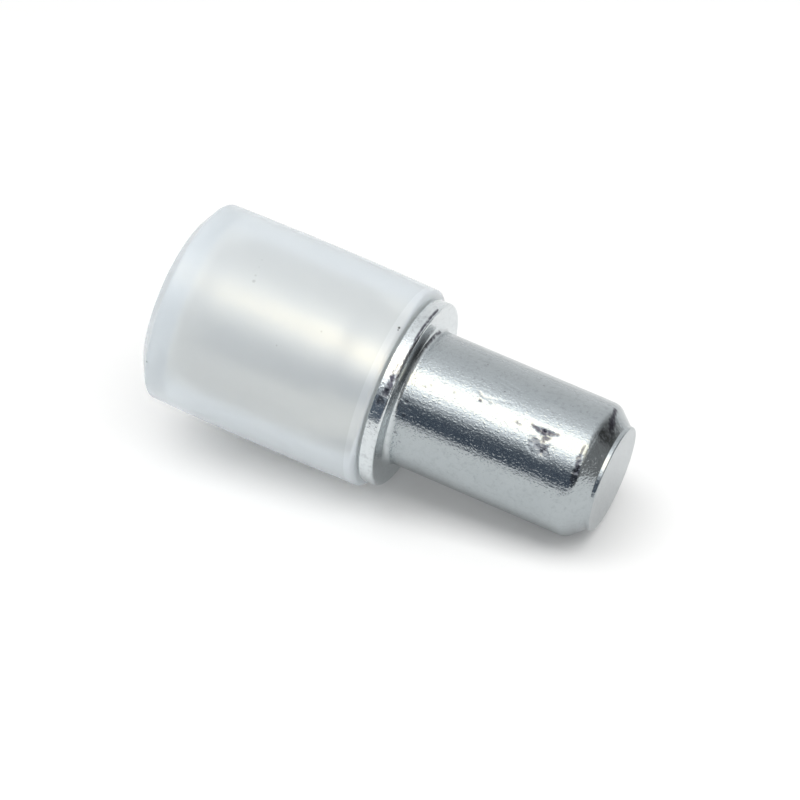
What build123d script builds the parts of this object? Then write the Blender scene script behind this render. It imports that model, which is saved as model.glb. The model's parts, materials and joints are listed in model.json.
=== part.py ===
from build123d import *
import os

# Shelf support pin, in millimetres. The origin is the centre of the collar's seat face, which meets
# the cabinet side. +X runs along the axis to the tip of the shank, and +Z is up, as in use.

# Shank, which goes into the hole in the cabinet side
shank_diameter = 5.0
shank_length = 7.6  # from the seat face to the end of the tip
shank_root_fillet = 0.22

# Tip of the shank: a lead-in chamfer that ends in a low round land
tip_chamfer_length = 0.63
tip_shoulder_fillet = 0.25
tip_land_diameter = 3.9
tip_land_length = 0.16
tip_land_chamfer = 0.05

# Collar, which stops the shank at the cabinet side
collar_diameter = 6.9
collar_thickness = 0.61
collar_edge_fillet = 0.12

# Spigot, which carries the sleeve: a neck behind the collar, which widens to a head with a lead-in
spigot_length = 7.5  # from the back of the collar to the end of the head
head_diameter = 5.9
head_lead_in_length = 0.9
head_lead_in_depth = 0.45
neck_length = 1.15  # from the back of the collar to the taper
neck_depth = 0.45  # from the head's surface down to the neck's
neck_taper_length = 1.1  # from the neck to the head

# Sleeve, which grips the head and cushions the shelf
sleeve_wall = 0.79  # at its thickest, half way along
sleeve_crown = 0.05  # how far the outside swells half way along, over its two ends
sleeve_end_wall = 0.96
sleeve_fit_clearance = 0.03  # between the head and the bore, on the radius
sleeve_end_clearance = 0.1  # between the end of the head and the bottom of the bore
sleeve_mouth_fillet = 0.16
sleeve_end_chamfer_length = 0.39  # along the axis
sleeve_end_chamfer_depth = 0.62  # towards the axis
sleeve_end_chamfer_fillet = 0.12  # where the chamfer meets the outside

# Places along the axis
tip_end_x = shank_length
land_start_x = tip_end_x - tip_land_length
chamfer_start_x = land_start_x - tip_chamfer_length
collar_back_x = -collar_thickness
taper_start_x = collar_back_x - neck_length
head_start_x = taper_start_x - neck_taper_length
spigot_end_x = collar_back_x - spigot_length
bore_end_x = spigot_end_x - sleeve_end_clearance
sleeve_end_x = bore_end_x - sleeve_end_wall
sleeve_side_end_x = sleeve_end_x + sleeve_end_chamfer_length

# Radii
shank_radius = shank_diameter / 2
land_radius = tip_land_diameter / 2
collar_radius = collar_diameter / 2
head_radius = head_diameter / 2
neck_radius = head_radius - neck_depth
bore_radius = head_radius + sleeve_fit_clearance
crown_radius = bore_radius + sleeve_wall
sleeve_side_radius = crown_radius - sleeve_crown
sleeve_end_radius = sleeve_side_radius - sleeve_end_chamfer_depth

os.makedirs("parts", exist_ok=True)

# Pin: each corner of the turned outline, from the end of the spigot to the tip, and the radius that rounds it
pin_corners = [
    ((spigot_end_x, 0), 0),
    ((spigot_end_x, head_radius - head_lead_in_depth), 0),
    ((spigot_end_x + head_lead_in_length, head_radius), 0),
    ((head_start_x, head_radius), 0),
    ((taper_start_x, neck_radius), 0),
    ((collar_back_x, neck_radius), 0),
    ((collar_back_x, collar_radius), collar_edge_fillet),
    ((0, collar_radius), collar_edge_fillet),
    ((0, shank_radius), shank_root_fillet),
    ((chamfer_start_x, shank_radius), tip_shoulder_fillet),
    ((land_start_x, land_radius), 0),
    ((tip_end_x - tip_land_chamfer, land_radius), 0),
    ((tip_end_x, land_radius - tip_land_chamfer), 0),
    ((tip_end_x, 0), 0),
]

with BuildPart() as pin:
    with BuildSketch(Plane.XZ):
        with BuildLine():
            FilletPolyline(
                [corner for corner, radius in pin_corners],
                radius=[radius for corner, radius in pin_corners],
                close=True,
            )
        make_face()
    revolve(axis=Axis.X)

pin.part.label = "pin"
export_step(pin.part, "parts/pin.step")

# Sleeve: a round wall with a slightly swollen outside, closed and chamfered at the end away from the collar
mouth_corner = (collar_back_x, sleeve_side_radius)
crown_point = ((collar_back_x + sleeve_side_end_x) / 2, crown_radius)
side_end_corner = (sleeve_side_end_x, sleeve_side_radius)

with BuildPart() as sleeve:
    with BuildSketch(Plane.XZ) as wall:
        with BuildLine():
            ThreePointArc(mouth_corner, crown_point, side_end_corner)
            Polyline(
                side_end_corner,
                (sleeve_end_x, sleeve_end_radius),
                (sleeve_end_x, 0),
                (bore_end_x, 0),
                (bore_end_x, bore_radius),
                (collar_back_x, bore_radius),
                mouth_corner,
            )
        make_face()
        fillet(wall.vertices().sort_by_distance(mouth_corner)[0], sleeve_mouth_fillet)
        fillet(wall.vertices().sort_by_distance(side_end_corner)[0], sleeve_end_chamfer_fillet)
    revolve(axis=Axis.X)

sleeve.part.label = "sleeve"
export_step(sleeve.part, "parts/sleeve.step")
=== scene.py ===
import json
import math

import bpy
import numpy as np
from mathutils import Matrix, Vector, noise


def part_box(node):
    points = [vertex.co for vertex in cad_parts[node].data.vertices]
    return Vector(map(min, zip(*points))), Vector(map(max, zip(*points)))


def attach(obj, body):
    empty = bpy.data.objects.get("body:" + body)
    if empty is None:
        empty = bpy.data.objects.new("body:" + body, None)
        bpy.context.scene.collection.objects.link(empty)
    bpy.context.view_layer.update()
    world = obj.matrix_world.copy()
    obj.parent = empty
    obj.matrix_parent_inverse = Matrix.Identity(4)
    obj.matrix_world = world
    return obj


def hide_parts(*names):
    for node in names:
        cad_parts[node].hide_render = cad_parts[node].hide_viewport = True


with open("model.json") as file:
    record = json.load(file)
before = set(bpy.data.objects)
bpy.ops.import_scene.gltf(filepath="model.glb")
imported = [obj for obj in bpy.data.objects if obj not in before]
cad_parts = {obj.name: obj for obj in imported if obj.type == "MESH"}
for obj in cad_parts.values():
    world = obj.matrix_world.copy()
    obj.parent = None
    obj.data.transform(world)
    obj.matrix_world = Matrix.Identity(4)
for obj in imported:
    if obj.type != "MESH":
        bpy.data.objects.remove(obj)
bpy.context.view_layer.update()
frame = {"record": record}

# Shelf support pin: a zinc-plated pin in a milky sleeve, with the finish, wear and light of the photograph.
# Lengths are in millimetres until a mesh is made. Tables give angles in degrees, from +Z towards -Y.

MM = 0.001


# Sizes

def span_mm(node):
    """A node's lowest and highest corners, in millimetres."""
    low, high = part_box(node)
    return low / MM, high / MM


pin_low, pin_high = span_mm("pin")
sleeve_low, sleeve_high = span_mm("sleeve")
mounts = {mount["name"]: mount for mount in frame["record"]["mounts"]}

shank_radius = mounts["shank"]["dims"]["r_mm"]
collar_radius = pin_high.z
tip_end_x = pin_high.x
spigot_end_x = pin_low.x
collar_back_x = sleeve_high.x
sleeve_end_x = sleeve_low.x
crown_radius = sleeve_high.z

# Pin. The shoulder of its tip and the edges of its spigot are rounder than in the solids.
root_fillet = 0.22
tip_chamfer_length = 0.63
tip_shoulder_fillet = 0.5
tip_land_radius = 1.95
tip_land_length = 0.16
tip_land_fillet = 0.05
collar_edge_fillet = 0.12
head_radius = 2.95
head_lead_in_length = 0.9
head_lead_in_depth = 0.45
head_fillet = 1.5
neck_length = 1.15
neck_radius = 2.5
neck_taper_length = 1.1
neck_taper_fillet = 2.5
spigot_fillet = 0.06

land_start_x = tip_end_x - tip_land_length
chamfer_start_x = land_start_x - tip_chamfer_length
taper_start_x = collar_back_x - neck_length
head_start_x = taper_start_x - neck_taper_length

# Sleeve
bore_radius = 2.98
bore_fillet = 0.1
end_wall = 0.96
crown_height = 0.05
mouth_fillet = 0.16
mouth_inner_fillet = 0.08
end_chamfer_length = 0.39
end_chamfer_depth = 0.62
end_chamfer_fillet = 0.1
lip_length = 0.35

side_radius = crown_radius - crown_height
side_end_x = sleeve_end_x + end_chamfer_length
bore_end_x = sleeve_end_x + end_wall

# Fineness of the meshes
around_count = 320
arc_count = 8
fine_step = 0.055
coarse_step = 0.3
sleeve_step = 0.1


# Turned meshes

def added(name, data):
    """A new object in the scene."""
    thing = bpy.data.objects.new(name, data)
    bpy.context.scene.collection.objects.link(thing)
    return thing


def on_round(x, r, angle):
    """The place at x along the axis, r from it, and at that angle round it in radians."""
    return np.stack(np.broadcast_arrays(x, -r * np.sin(angle), r * np.cos(angle)), axis=-1).astype(float)


def rounded(corners):
    """The points of an outline through corners of (x, radius from the axis, rounding)."""
    points = []
    for i, (x, r, rounding) in enumerate(corners):
        corner = Vector((x, r))
        if not rounding:
            points.append(corner)
            continue
        to_last = (Vector(corners[i - 1][:2]) - corner).normalized()
        to_next = (Vector(corners[i + 1][:2]) - corner).normalized()
        half = to_last.angle(to_next) / 2
        start = corner + to_last * rounding / math.tan(half)
        end = corner + to_next * rounding / math.tan(half)
        centre = corner + (to_last + to_next).normalized() * rounding / math.sin(half)
        turn = (start - centre).angle_signed(end - centre)
        for k in range(arc_count + 1):
            points.append(centre + Matrix.Rotation(-turn * k / arc_count, 2) @ (start - centre))
    return points


def divided(points, step_at):
    """The same outline with stretches no longer than step_at(x)."""
    out = [points[0]]
    for a, b in zip(points, points[1:]):
        count = max(1, math.ceil((b - a).length / step_at(min(a.x, b.x))))
        out += [a.lerp(b, k / count) for k in range(1, count + 1)]
    return np.array(out)


def turned(name, outline, relief, wear_and_painted_shade=None):
    """A closed mesh, turned about X from an outline that starts and ends on the axis.

    relief(x, r, angle) lifts the surface. The last function, where there is one, marks it from 0 to 1 with
    wear and with painted shade.
    """
    along = np.gradient(outline, axis=0)
    along /= np.linalg.norm(along, axis=1)[:, None]
    normal = np.stack([-along[:, 1], along[:, 0]], axis=1)
    angle = np.arange(around_count)[None, :] * 2 * np.pi / around_count
    x, r = outline[1:-1, :1], outline[1:-1, 1:]
    lift = relief(x, r, angle)
    rings = on_round(x + lift * normal[1:-1, :1], r + lift * normal[1:-1, 1:], angle)
    poles = [(outline[0, 0], 0, 0), (outline[-1, 0], 0, 0)]
    points = np.concatenate([rings.reshape(-1, 3), poles]) * MM

    ring_count = len(rings)
    first_pole, last_pole = len(points) - 2, len(points) - 1
    here = list(range(around_count))
    beside = here[1:] + here[:1]
    faces = [(first_pole, b, a) for a, b in zip(here, beside)]
    for k in range(ring_count - 1):
        low, high = k * around_count, (k + 1) * around_count
        faces += [(low + a, low + b, high + b, high + a) for a, b in zip(here, beside)]
    low = (ring_count - 1) * around_count
    faces += [(last_pole, low + a, low + b) for a, b in zip(here, beside)]

    mesh = bpy.data.meshes.new(name)
    mesh.from_pydata(points.tolist(), [], faces)
    mesh.shade_smooth()
    if wear_and_painted_shade:
        marks = np.append(wear_and_painted_shade(x, r, angle), [0, 0])
        mesh.attributes.new("wear_and_painted_shade", "FLOAT", "POINT").data.foreach_set("value", marks)
    return added(name, mesh)


def noise_field(x, r, angle, size):
    """Smooth noise of about plus and minus one, with lumps of that size, over a turned surface."""
    places = on_round(x, r, angle) / size
    values = [noise.noise(place) for place in places.reshape(-1, 3).tolist()]
    return np.array(values).reshape(places.shape[:-1])


# Wear on the pin, and shade and dark reflections painted on it: strokes from (x, angle) to (x, angle), with
# half width, depth and darkness
strokes = [
    # Scuff on the shank
    ((4.70, 32.4), (5.02, 34.0), 0.050, 0.020, 1.0),
    ((5.02, 33.6), (5.45, 33.8), 0.110, 0.035, 1.0),
    ((5.45, 33.4), (5.70, 31.9), 0.050, 0.020, 1.0),
    ((5.24, 36.0), (5.42, 37.5), 0.130, 0.035, 0.9),
    ((5.26, 39.0), (5.34, 41.5), 0.060, 0.025, 0.9),
    ((5.40, 49.3), (5.58, 42.6), 0.065, 0.025, 0.9),
    ((4.82, 42.0), (4.91, 49.5), 0.035, 0.010, 0.5),
    ((4.91, 49.5), (5.10, 52.3), 0.035, 0.010, 0.4),
    ((5.05, 44.0), (5.40, 47.5), 0.220, 0.012, 0.65),
    ((5.35, 51.0), (5.60, 49.8), 0.120, 0.010, 0.5),
    # Scratches on the shank
    ((2.50, 24.0), (2.72, 27.5), 0.040, 0.012, 0.3),
    ((2.72, 27.5), (3.75, 23.0), 0.040, 0.010, 0.2),
    ((2.85, 5.0), (3.75, 9.0), 0.060, 0.010, 0.0),
    ((3.05, 9.0), (3.60, 12.5), 0.050, 0.008, 0.0),
    # Rubbed shoulder, and a dark reflection painted on the tip's chamfer
    ((6.71, 31.5), (6.70, 42.8), 0.055, 0.015, 0.8),
    ((6.70, 42.8), (6.83, 53.2), 0.110, 0.015, 0.9),
    ((6.78, 53.2), (6.80, 60.0), 0.130, 0.015, 0.75),
    # Painted reflection: a black wedge on the upper chamfer, darkness with no dent
    ((6.92, -21.0), (7.01, -9.0), 0.110, 0.0, 1.0),
    ((7.01, -9.0), (7.08, -2.0), 0.180, 0.0, 1.0),
    ((7.08, -2.0), (7.20, 3.5), 0.150, 0.0, 0.9),
    # Painted shade in the crease at the foot of the shank, darkness with no dent
    ((0.08, -22.0), (0.06, -8.0), 0.100, 0.0, 1.0),
    ((0.06, -8.0), (0.05, 5.0), 0.100, 0.0, 1.0),
    # Collar's face
    ((0, 12.0), (0, 30.0), 0.340, 0.0, 0.6),
    ((0, 30.0), (0, 47.0), 0.340, 0.0, 0.6),
    ((0, 47.0), (0, 62.0), 0.300, 0.0, 0.5),
    # Collar's rim: small nicks, with the dark reflections of its uneven rim painted into them
    ((-0.10, -15.0), (-0.095, -6.4), 0.045, 0.030, 1.0),
    ((-0.095, -6.4), (-0.10, 6.4), 0.050, 0.030, 1.0),
    ((-0.10, 6.4), (-0.12, 17.0), 0.040, 0.020, 1.0),
    ((-0.06, 14.0), (-0.06, 30.0), 0.070, 0.010, 0.8),
    ((-0.06, 30.0), (-0.08, 44.0), 0.070, 0.010, 0.8),
    ((-0.24, 34.7), (-0.257, 40.9), 0.035, 0.015, 0.9),
    ((-0.25, 41.4), (-0.18, 46.7), 0.100, 0.012, 1.0),
    ((-0.18, 46.7), (-0.22, 53.0), 0.140, 0.012, 0.95),
    ((-0.22, 53.0), (-0.30, 58.7), 0.140, 0.010, 0.7),
]
# Pits of (x, angle), with half width, depth and darkness
pits = [
    (2.69, 31.2, 0.055, 0.020, 1.0),
    (3.04, 29.2, 0.050, 0.014, 0.6),
    (4.15, 35.7, 0.060, 0.016, 0.8),
    (4.30, 36.4, 0.045, 0.012, 0.6),
    (0.70, 38.2, 0.050, 0.012, 0.6),
    (0.88, 35.0, 0.045, 0.012, 0.5),
    (1.75, 33.0, 0.040, 0.010, 0.4),
    (0.34, 55.0, 0.045, 0.012, 0.7),
    (0.52, 58.5, 0.040, 0.012, 0.6),
    (0.40, 66.0, 0.050, 0.012, 0.7),
    (0.30, 83.0, 0.045, 0.012, 0.7),
    (0.52, 90.0, 0.035, 0.010, 0.6),
]

# Unevenness of the surfaces: how high it is, and how large its lumps are
wave_height = 0.0045
wave_size = 0.9
ripple_height = 0.001
ripple_size = 0.24
mould_height = 0.004
mould_size = 2.2

# Ragged edges of the wear and of the painted dark marks, and how steeply their darkness rises from them
ragged_size = 0.11
ragged_share = 0.8
mark_darkness_gain = 2.2
mark_darkness_threshold = 0.6


def mark_radius(x):
    """How far from the axis a mark at x lies: on the collar's rim or face, or along the shank."""
    if x < 0:
        return collar_radius
    if x == 0:
        return (collar_radius + shank_radius) / 2
    slope = (shank_radius - tip_land_radius) / tip_chamfer_length
    return min(shank_radius, tip_land_radius + slope * (land_start_x - x))


def gap_to_stroke(places, start, end):
    """How far each place lies from the straight stroke between two places."""
    along = end - start
    share = np.clip((places - start) @ along / (along @ along), 0, 1)
    return np.linalg.norm(places - start - share[..., None] * along, axis=-1)


def dents_and_painted_shade(x, r, angle):
    """The shape of each stroke and pit, from 0 to 1, with its depth and darkness."""
    places = on_round(x, r, angle)
    lines = strokes + [((px, pa), (px + width, pa), width, *rest) for px, pa, width, *rest in pits]
    for start, end, half_width, depth, darkness in lines:
        first, last = (on_round(px, mark_radius(px), math.radians(pa)) for px, pa in (start, end))
        yield np.exp(-((gap_to_stroke(places, first, last) / half_width) ** 2)), depth, darkness


def ragged(x, r, angle):
    """What breaks up the edges of the dents and of the painted dark marks, about 1."""
    return 1 + ragged_share * noise_field(x, r, angle, ragged_size)


def pin_relief(x, r, angle):
    """Waviness of the plated surface, with its dents, scratches and pits."""
    waves = wave_height * noise_field(x, r, angle, wave_size)
    waves = waves + ripple_height * noise_field(x, r, angle, ripple_size)
    worn = sum(depth * shape for shape, depth, darkness in dents_and_painted_shade(x, r, angle)) * ragged(x, r, angle)
    outside = (x > collar_back_x) & (r > shank_radius - fine_step)
    return np.where(outside, waves - worn, 0)


def pin_wear_and_painted_shade(x, r, angle):
    """How dark the metal is in its marks: bare in its dents, with shade and dark reflections painted in
    elsewhere.
    """
    edges = ragged(x, r, angle)
    marks = [
        darkness * np.clip(mark_darkness_gain * shape * edges - mark_darkness_threshold, 0, 1)
        for shape, depth, darkness in dents_and_painted_shade(x, r, angle)
    ]
    return np.where(x > collar_back_x, np.max(marks, axis=0), 0)


def make_pin():
    """The pin, from the end of its spigot to its tip."""
    corners = [
        (spigot_end_x, 0, 0),
        (spigot_end_x, head_radius - head_lead_in_depth, spigot_fillet),
        (spigot_end_x + head_lead_in_length, head_radius, head_fillet),
        (head_start_x, head_radius, neck_taper_fillet),
        (taper_start_x, neck_radius, neck_taper_fillet),
        (collar_back_x, neck_radius, spigot_fillet),
        (collar_back_x, collar_radius, collar_edge_fillet),
        (0, collar_radius, collar_edge_fillet),
        (0, shank_radius, root_fillet),
        (chamfer_start_x, shank_radius, tip_shoulder_fillet),
        (land_start_x, tip_land_radius, tip_land_fillet),
        (tip_end_x, tip_land_radius, tip_land_fillet),
        (tip_end_x, 0, 0),
    ]
    outline = divided(rounded(corners), lambda x: coarse_step if x < collar_back_x else fine_step)
    return turned("zinc_pin", outline, pin_relief, pin_wear_and_painted_shade)


def sleeve_relief(x, r, angle):
    """The sleeve's outside swells half way along, and its moulded surface is a little uneven."""
    half_length = (collar_back_x - side_end_x) / 2
    middle_x = (collar_back_x + side_end_x) / 2
    swell = crown_height * np.clip(1 - ((x - middle_x) / half_length) ** 2, 0, 1)
    uneven = mould_height * noise_field(x, r, angle, mould_size)
    outside = r > side_radius - end_chamfer_depth
    return np.where(outside, swell + uneven - mould_height, 0)


def make_sleeve():
    """The sleeve, from the middle of its closed end, over the outside and back down the bore."""
    corners = [
        (sleeve_end_x, 0, 0),
        (sleeve_end_x, side_radius - end_chamfer_depth, end_chamfer_fillet),
        (side_end_x, side_radius, end_chamfer_fillet),
        (collar_back_x, side_radius, mouth_fillet),
        (collar_back_x, bore_radius, mouth_inner_fillet),
        (bore_end_x, bore_radius, bore_fillet),
        (bore_end_x, 0, 0),
    ]
    outline = divided(rounded(corners), lambda x: sleeve_step)
    return turned("milky_sleeve", outline, sleeve_relief)


def line_sleeve(sleeve):
    """The wall of the bore and the lip at the mouth get materials of their own."""
    sleeve.data.materials.append(bore_material())
    sleeve.data.materials.append(milky_material("milky_lip", lip_clearness))
    bore_index, lip_index = 1, 2
    for face in sleeve.data.polygons:
        x = face.center.x / MM
        across = math.hypot(face.center.y, face.center.z) / MM
        if x > sleeve_end_x + end_wall / 2 and across < bore_radius + bore_fillet:
            face.material_index = bore_index
        elif x > collar_back_x - lip_length:
            face.material_index = lip_index


# Materials

def new_material(name):
    """A new material and its main shader."""
    material = bpy.data.materials.new(name)
    material.use_nodes = True
    return material, material.node_tree.nodes["Principled BSDF"]


def place_node(tree):
    """The place on the part, in millimetres."""
    coordinates = tree.nodes.new("ShaderNodeTexCoord")
    scale = tree.nodes.new("ShaderNodeVectorMath")
    scale.operation = "SCALE"
    scale.inputs["Scale"].default_value = 1 / MM
    tree.links.new(coordinates.outputs["Object"], scale.inputs[0])
    return scale.outputs["Vector"]


def noise_node(tree, place, size, detail, roughness=0.5):
    """A noise texture with lumps of that size in millimetres."""
    node = tree.nodes.new("ShaderNodeTexNoise")
    node.inputs["Scale"].default_value = 1 / size
    node.inputs["Detail"].default_value = detail
    node.inputs["Roughness"].default_value = roughness
    tree.links.new(place, node.inputs["Vector"])
    return node.outputs["Fac"]


def ranged(tree, value, low, high, to_low, to_high):
    """value from low to high, mapped to a number from to_low to to_high."""
    node = tree.nodes.new("ShaderNodeMapRange")
    for name, number in (("From Min", low), ("From Max", high), ("To Min", to_low), ("To Max", to_high)):
        node.inputs[name].default_value = number
    tree.links.new(value, node.inputs["Value"])
    return node.outputs["Result"]


def along_x(tree, place, start_x, end_x, at_start, at_end):
    """A number that changes evenly between two places along the axis."""
    parts = tree.nodes.new("ShaderNodeSeparateXYZ")
    tree.links.new(place, parts.inputs["Vector"])
    return ranged(tree, parts.outputs["X"], start_x, end_x, at_start, at_end)


def combined(tree, operation, first, second):
    """One number made of two."""
    node = tree.nodes.new("ShaderNodeMath")
    node.operation = operation
    tree.links.new(first, node.inputs[0])
    tree.links.new(second, node.inputs[1])
    return node.outputs["Value"]


def mixed(tree, share, first, second):
    """A colour between two, by share."""
    node = tree.nodes.new("ShaderNodeMix")
    node.data_type = "RGBA"
    tree.links.new(share, node.inputs["Factor"])
    for socket, colour in ((node.inputs["A"], first), (node.inputs["B"], second)):
        if isinstance(colour, tuple):
            socket.default_value = (*colour, 1)
        else:
            tree.links.new(colour, socket)
    return node.outputs["Result"]


def bumped(tree, height, distance, strength, below=None):
    """A bumped normal, over the bump below it."""
    node = tree.nodes.new("ShaderNodeBump")
    node.inputs["Strength"].default_value = strength
    node.inputs["Distance"].default_value = distance * MM
    tree.links.new(height, node.inputs["Height"])
    if below is not None:
        tree.links.new(below, node.inputs["Normal"])
    return node.outputs["Normal"]


# Zinc plate: colours, textures of (lump size, detail, roughness), ranges and bumps of (height, strength)
plate_dull_colour = (0.375, 0.41, 0.425)
plate_bright_colour = (0.43, 0.465, 0.48)
# The collar's plate, brighter than the shank's: a painted brighter reflection
collar_painted_bright_colour = (0.65, 0.69, 0.705)
stain_colour = (0.24, 0.26, 0.28)
speck_colour = (0.16, 0.17, 0.18)
# Dark of the dents, also used for the painted shade and dark reflections
wear_and_painted_shade_colour = (0.07, 0.07, 0.09)
# The spigot's zinc, brighter and warm to paint in the warm light through the milky sleeve, and darker at
# its end to dim what shows through there
spigot_near_painted_warm_colour = (0.72, 0.705, 0.67)
spigot_far_painted_dim_colour = (0.55, 0.54, 0.51)
cloud_texture = (0.9, 3)
lump_texture = (0.1, 2)
grain_texture = (0.07, 1)
streak_texture = (0.14, 2)
streak_squeeze_share = 0.07  # of x, so that the streaks run along the pin
stain_texture = (0.16, 5, 0.7)
speck_texture = (0.13, 1)
grain_range = (0.52, 0.75, 0, 1)
stain_range = (0.5, 0.75, 0, 0.5)
speck_range = (0.76, 0.8, 0, 0.7)
plate_roughness_range = (0.3, 0.7, 0.14, 0.2)
spigot_added_roughness = 0.26  # at its end
streak_bump = (0.011, 0.5)
lump_bump = (0.008, 0.6)
grain_bump = (0.004, 1)


def zinc_material():
    """Zinc plate, slightly blue, grainy and streaked, with dark dents and with shade and dark reflections
    painted into some marks.

    It is brighter on the collar, a painted brighter reflection. The spigot is brighter and warm, which
    paints in the warm light that the milky sleeve lets through, and it is duller towards its end, which
    dims what shows through the sleeve's far end.
    """
    material, shader = new_material("zinc_plate")
    tree = material.node_tree
    place = place_node(tree)
    clouds = noise_node(tree, place, *cloud_texture)
    lumps = noise_node(tree, place, *lump_texture)
    grains = ranged(tree, noise_node(tree, place, *grain_texture), *grain_range)
    drawn = tree.nodes.new("ShaderNodeVectorMath")
    drawn.operation = "MULTIPLY"
    drawn.inputs[1].default_value = (streak_squeeze_share, 1, 1)
    tree.links.new(place, drawn.inputs[0])
    streaks = noise_node(tree, drawn.outputs["Vector"], *streak_texture)
    stains = ranged(tree, noise_node(tree, place, *stain_texture), *stain_range)
    specks = ranged(tree, noise_node(tree, place, *speck_texture), *speck_range)
    wear_and_painted_shade = tree.nodes.new("ShaderNodeAttribute")
    wear_and_painted_shade.attribute_name = "wear_and_painted_shade"
    on_collar = along_x(tree, place, root_fillet, 0, 0, 1)
    on_spigot = along_x(tree, place, collar_back_x + collar_edge_fillet, collar_back_x, 0, 1)
    far_along = along_x(tree, place, collar_back_x, spigot_end_x, 0, 1)

    plate = mixed(tree, clouds, plate_dull_colour, plate_bright_colour)
    # Painted brighter reflection on the collar
    plate = mixed(tree, on_collar, plate, collar_painted_bright_colour)
    plate = mixed(tree, stains, plate, stain_colour)
    plate = mixed(tree, specks, plate, speck_colour)
    # Wear, and shade and dark reflections painted into the marks
    plate = mixed(tree, wear_and_painted_shade.outputs["Fac"], plate, wear_and_painted_shade_colour)
    # Painted light on the spigot: warm, and dimmer towards its end
    spigot = mixed(tree, far_along, spigot_near_painted_warm_colour, spigot_far_painted_dim_colour)
    tree.links.new(mixed(tree, on_spigot, plate, spigot), shader.inputs["Base Color"])

    blotches = ranged(tree, clouds, *plate_roughness_range)
    blur = along_x(tree, place, collar_back_x, spigot_end_x, 0, spigot_added_roughness)
    tree.links.new(combined(tree, "ADD", blotches, blur), shader.inputs["Roughness"])
    shader.inputs["Metallic"].default_value = 1
    normal = bumped(tree, streaks, *streak_bump)
    normal = bumped(tree, lumps, *lump_bump, normal)
    tree.links.new(bumped(tree, grains, *grain_bump, normal), shader.inputs["Normal"])
    return material


# Milky plastic. Clearness goes from 0 to 1, and it falls towards the far end.
plastic_ior = 1.5
side_clearness = 0.51
lip_clearness = 0.45
clearness_fall = 0.07
milk_dull_colour = (0.83, 0.9, 0.952)
milk_bright_colour = (0.855, 0.915, 0.962)
milk_cloud_texture = (1.6, 2)
milk_grain_texture = (0.25, 2)
milk_grain_bump = (0.006, 0.3)
milk_blotch_range = (0.3, 0.7, 0, 0.02)
mouth_roughness = 0.18
far_roughness = 0.25
bore_colour = (1, 0.92, 0.79)
bore_roughness = 0.12

# Dark specks on the sleeve: (x, angle), with half width and darkness
sleeve_specks = [
    (-0.735, 16.5, 0.045, 1.0),
    (-0.725, 18.0, 0.035, 0.9),
    (-6.08, 25.0, 0.050, 0.22),
    (-6.13, 21.5, 0.035, 0.15),
    (-6.18, 16.0, 0.030, 0.08),
    (-6.24, 11.0, 0.030, 0.08),
    (-4.35, 52.0, 0.030, 0.25),
    (-8.74, 91.9, 0.040, 0.5),
    (-3.10, 36.0, 0.030, 0.2),
]
sleeve_speck_colour = (0.03, 0.03, 0.03)
speck_edge_share = 1.6
speck_core_share = 0.8


def speckled(tree, place, colour):
    """That colour, with the sleeve's specks on it."""
    for x, angle, half_width, darkness in sleeve_specks:
        gap = tree.nodes.new("ShaderNodeVectorMath")
        gap.operation = "DISTANCE"
        gap.inputs[1].default_value = on_round(x, crown_radius - crown_height / 2, math.radians(angle))
        tree.links.new(place, gap.inputs[0])
        edge, core = half_width * speck_edge_share, half_width * speck_core_share
        share = ranged(tree, gap.outputs["Value"], edge, core, 0, darkness)
        colour = mixed(tree, share, colour, sleeve_speck_colour)
    return colour


def milky_material(name, clearness):
    """Milky, satin plastic, a little bluish, with a few dark specks. It is rougher towards its far end."""
    material, shader = new_material(name)
    tree = material.node_tree
    place = place_node(tree)
    clouds = noise_node(tree, place, *milk_cloud_texture)
    grain = noise_node(tree, place, *milk_grain_texture)
    milk = mixed(tree, clouds, milk_dull_colour, milk_bright_colour)
    tree.links.new(speckled(tree, place, milk), shader.inputs["Base Color"])

    blotches = ranged(tree, clouds, *milk_blotch_range)
    blur = along_x(tree, place, collar_back_x, sleeve_end_x, mouth_roughness, far_roughness)
    tree.links.new(combined(tree, "ADD", blotches, blur), shader.inputs["Roughness"])
    clear = along_x(tree, place, collar_back_x, sleeve_end_x, clearness, clearness - clearness_fall)
    tree.links.new(clear, shader.inputs["Transmission Weight"])
    shader.inputs["IOR"].default_value = plastic_ior
    tree.links.new(bumped(tree, grain, *milk_grain_bump), shader.inputs["Normal"])
    return material


def bore_material():
    """The sleeve's clear inner wall, which lets warm light through to the pin."""
    material, shader = new_material("bore_wall")
    shader.inputs["Base Color"].default_value = (*bore_colour, 1)
    shader.inputs["Roughness"].default_value = bore_roughness
    shader.inputs["IOR"].default_value = plastic_ior
    shader.inputs["Transmission Weight"].default_value = 1
    return material


# Stage: the floor that it lies on, the lights and the cards that the metal mirrors

white = (1, 1, 1, 1)
floor_tilt = math.radians(9.3)
floor_radius = 60
floor_edge_count = 96
floor_colour = (0.93, 0.93, 0.925)
floor_roughness = 0.9
floor_glow = 0.07
ambient_strength = 0.55


def seen_rays(tree):
    """1 for rays from the camera, and for those that metal or plastic sends on, and 0 for others."""
    path = tree.nodes.new("ShaderNodeLightPath")
    total = path.outputs["Is Camera Ray"]
    for name in ("Is Glossy Ray", "Is Transmission Ray"):
        total = combined(tree, "MAXIMUM", total, path.outputs[name])
    return total


def make_world():
    """White to the eye and in reflections, and a soft grey light from all round."""
    world = bpy.data.worlds.new("studio")
    world.use_nodes = True
    bpy.context.scene.world = world
    tree = world.node_tree
    background = tree.nodes["Background"]
    background.inputs["Color"].default_value = white
    strength = ranged(tree, seen_rays(tree), 0, 1, ambient_strength, 1)
    tree.links.new(strength, background.inputs["Strength"])


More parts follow.
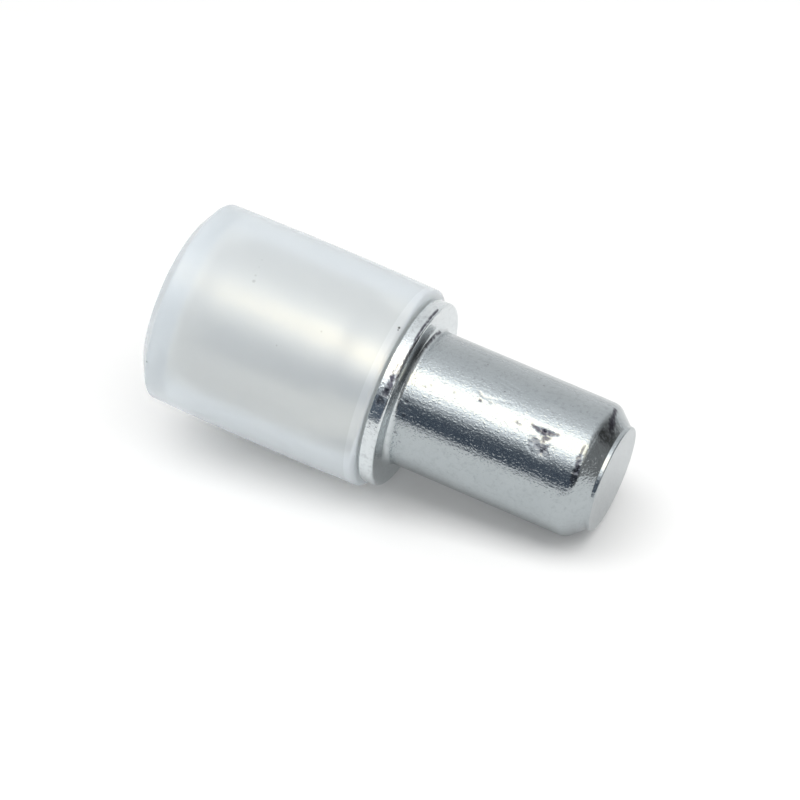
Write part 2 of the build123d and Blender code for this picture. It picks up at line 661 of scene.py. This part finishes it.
def floor_material():
    """White paper that is seen from above only."""
    material, shader = new_material("white_floor")
    tree = material.node_tree
    shader.inputs["Base Color"].default_value = (*floor_colour, 1)
    shader.inputs["Roughness"].default_value = floor_roughness
    shader.inputs["Specular IOR Level"].default_value = 0
    shader.inputs["Emission Color"].default_value = white
    glow = ranged(tree, seen_rays(tree), 0, 1, 0, floor_glow)
    tree.links.new(glow, shader.inputs["Emission Strength"])
    geometry = tree.nodes.new("ShaderNodeNewGeometry")
    clear = tree.nodes.new("ShaderNodeBsdfTransparent")
    mix = tree.nodes.new("ShaderNodeMixShader")
    tree.links.new(geometry.outputs["Backfacing"], mix.inputs["Fac"])
    tree.links.new(shader.outputs["BSDF"], mix.inputs[1])
    tree.links.new(clear.outputs["BSDF"], mix.inputs[2])
    tree.links.new(mix.outputs["Shader"], tree.nodes["Material Output"].inputs["Surface"])
    return material


def staged(name, places, faces, material):
    """A stage piece of flat faces between places in millimetres."""
    mesh = bpy.data.meshes.new(name)
    mesh.from_pydata([place * MM for place in places], [], faces)
    mesh.materials.append(material)
    piece = added(name, mesh)
    return piece


def make_floor(pieces):
    """A round floor that the pieces just touch, tilted as the part lies."""
    turn = Matrix.Rotation(-floor_tilt, 3, "Y")
    up = turn @ Vector((0, 0, 1))
    height = min(up.dot(vertex.co) for piece in pieces for vertex in piece.data.vertices) / MM
    corners = []
    for k in range(floor_edge_count):
        a = 2 * math.pi * k / floor_edge_count
        corners.append(turn @ Vector((floor_radius * math.cos(a), floor_radius * math.sin(a), height)))
    staged("floor", corners, [tuple(range(floor_edge_count))], floor_material())


# What the metal mirrors round the part: (angle, colour), from the back, over the top, to the front
tent_distance = 140
tent_bands = [
    (-100, (1.0, 1.0, 1.0)),
    (-80, (1.0, 1.0, 1.0)),
    (-57, (0.91, 0.91, 0.91)),
    (-37, (0.89, 0.90, 0.91)),
    (-21, (1.05, 1.06, 1.07)),
    (-6, (1.25, 1.26, 1.27)),
    (10, (2.45, 2.47, 2.5)),
    (14, (3.3, 3.04, 2.5)),
    (32, (3.3, 3.04, 2.5)),
    (36, (2.40, 2.42, 2.45)),
    (49, (1.15, 1.17, 1.20)),
    (60, (0.28, 0.30, 0.33)),
    (69, (0.10, 0.125, 0.165)),
    (95, (0.10, 0.125, 0.165)),
]
# How that fades along the part: (x, share of the light)
tent_shares = [(-170, 1.0), (30, 1.0), (110, 0.25), (150, 0.15)]

# What it mirrors beyond the tip and beyond the far end: (y, grey), from front to back
side_x = 200
side_top = 150
side_bands = [(-300, 0.3), (60, 0.3), (100, 0.05), (200, 0.05), (240, 0.6), (300, 0.8)]
far_x = -200
far_bands = [(-200, 0.9), (200, 0.9)]


def glow_material(name):
    """A surface that gives off the light painted on its corners."""
    material = bpy.data.materials.new(name)
    material.use_nodes = True
    tree = material.node_tree
    tree.nodes.clear()
    colour = tree.nodes.new("ShaderNodeAttribute")
    colour.attribute_name = "light"
    emission = tree.nodes.new("ShaderNodeEmission")
    output = tree.nodes.new("ShaderNodeOutputMaterial")
    tree.links.new(colour.outputs["Color"], emission.inputs["Color"])
    tree.links.new(emission.outputs["Emission"], output.inputs["Surface"])
    return material


def make_card(name, rows):
    """A sheet through rows of (place, colour), which only the metal and the plastic mirror."""
    width = len(rows[0])
    spots = [spot for row in rows for spot in row]
    faces = []
    for k in range(len(rows) - 1):
        for i in range(k * width, (k + 1) * width - 1):
            faces.append((i, i + 1, i + 1 + width, i + width))
    card = staged(name, [place for place, colour in spots], faces, glow_material(name))
    light = card.data.attributes.new("light", "FLOAT_COLOR", "POINT")
    for i, (place, colour) in enumerate(spots):
        light.data[i].color = (*colour, 1)
    card.visible_camera = False
    card.visible_diffuse = False
    card.visible_shadow = False


def make_cards():
    """A tent of light along the part, which fades beyond its tip, and cards beyond its two ends."""
    rows = []
    for angle, colour in tent_bands:
        out = Vector(on_round(0, tent_distance, math.radians(angle)))
        rows.append([(out + Vector((x, 0, 0)), Vector(colour) * share) for x, share in tent_shares])
    make_card("light_tent", rows)
    for name, x, bands in (("side_card", side_x, side_bands), ("far_card", far_x, far_bands)):
        rows = [[(Vector((x, y, z)), (grey, grey, grey)) for z in (0, side_top)] for y, grey in bands]
        make_card(name, rows)


# Soft lamp above the part, a little to the front
lamp_angle = math.radians(9.5)
lamp_length = 200
lamp_width = 90
lamp_watts = 0.154


def make_lamp():
    """A soft lamp that faces the part. The tent stands for it in reflections."""
    light = bpy.data.lights.new("soft_lamp", "AREA")
    light.shape = "RECTANGLE"
    light.size = lamp_length * MM
    light.size_y = lamp_width * MM
    light.energy = lamp_watts
    lamp = added("soft_lamp", light)
    out = Vector(on_round(0, tent_distance, lamp_angle))
    lamp.matrix_world = Matrix.Translation(out * MM) @ Matrix.Rotation(lamp_angle, 4, "X")
    lamp.visible_glossy = False
    lamp.visible_transmission = False
    lamp.visible_camera = False


# Camera, with its azimuth from -Y towards +X
camera_lens = 192.6
camera_distance = 150
camera_azimuth = math.radians(24.9)
camera_elevation = math.radians(37.7)
camera_target = Vector((-0.44, -0.32, -0.19))
camera_clip_factor = 100


def make_camera():
    """The photograph's view, upright over the tilted floor."""
    turn = Matrix.Rotation(-floor_tilt, 3, "Y")
    level = math.cos(camera_elevation)
    back = turn @ Vector((
        math.sin(camera_azimuth) * level,
        -math.cos(camera_azimuth) * level,
        math.sin(camera_elevation),
    ))
    right = (turn @ Vector((0, 0, 1))).cross(back).normalized()
    up = back.cross(right)
    camera = added("camera", bpy.data.cameras.new("camera"))
    camera.data.lens = camera_lens
    camera.data.clip_start = camera_distance * MM / camera_clip_factor
    camera.data.clip_end = camera_distance * MM * camera_clip_factor
    place = (camera_target + back * camera_distance) * MM
    camera.matrix_world = Matrix.Translation(place) @ Matrix((right, up, back)).transposed().to_4x4()
    bpy.context.scene.camera = camera


# The whole scene

def dress(piece, node, material):
    """piece stands for a node, with its finish."""
    piece.data.materials.append(material)
    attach(piece, "root")
    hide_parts(node)
    return piece


pin = dress(make_pin(), "pin", zinc_material())
sleeve = dress(make_sleeve(), "sleeve", milky_material("milky_plastic", side_clearness))
line_sleeve(sleeve)
sleeve.visible_shadow = False  # the lamp shines through it

make_world()
make_floor([pin, sleeve])
make_cards()
make_lamp()
make_camera()
bpy.context.scene.view_settings.view_transform = "Standard"
